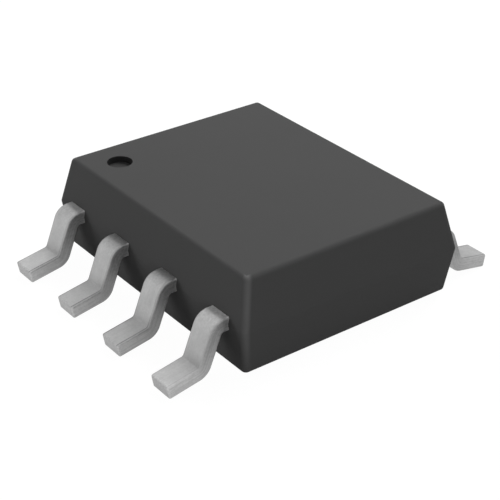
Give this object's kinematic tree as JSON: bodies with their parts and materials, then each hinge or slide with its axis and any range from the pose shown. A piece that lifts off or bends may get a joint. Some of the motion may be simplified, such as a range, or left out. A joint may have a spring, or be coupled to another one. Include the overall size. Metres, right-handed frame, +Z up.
{
  "type": "comparator chip",
  "caption": "Comparator chip in a narrow small outline package: moulded body, gull wing leads, die on its paddle and gold bond wires inside.",
  "frame": {"origin": "middle of the seating plane, midway between the two rows of leads and between the ends", "axes": "+Z up out of the top of the body; X across the two rows of leads; Y along the rows; lead 1 is at the -X side's +Y end, beside the round indent"},
  "size_m": [0.006, 0.005, 0.0016],
  "materials": {
    "mold_compound": "fine matte, charcoal epoxy compound",
    "tin_plated_lead": "matte tin plate on copper alloy",
    "paddle_copper": "bare copper alloy",
    "silver_epoxy": "silver filled epoxy",
    "silicon": "polished silicon",
    "gold": "bright gold wire"
  },
  "bodies": {
    "root": {"mold_body": "mold_compound", "lead_1": "tin_plated_lead", "lead_2": "tin_plated_lead", "lead_3": "tin_plated_lead", "lead_4": "tin_plated_lead", "lead_5": "tin_plated_lead", "lead_6": "tin_plated_lead", "lead_7": "tin_plated_lead", "lead_8": "tin_plated_lead", "die_paddle": "paddle_copper", "die_attach": "silver_epoxy", "comparator_die": "silicon", "bond_wire_1": "gold", "bond_wire_2": "gold", "bond_wire_3": "gold", "bond_wire_4": "gold", "bond_wire_5": "gold", "bond_wire_6": "gold", "bond_wire_7": "gold", "bond_wire_8": "gold"}
  },
  "joints": []
}
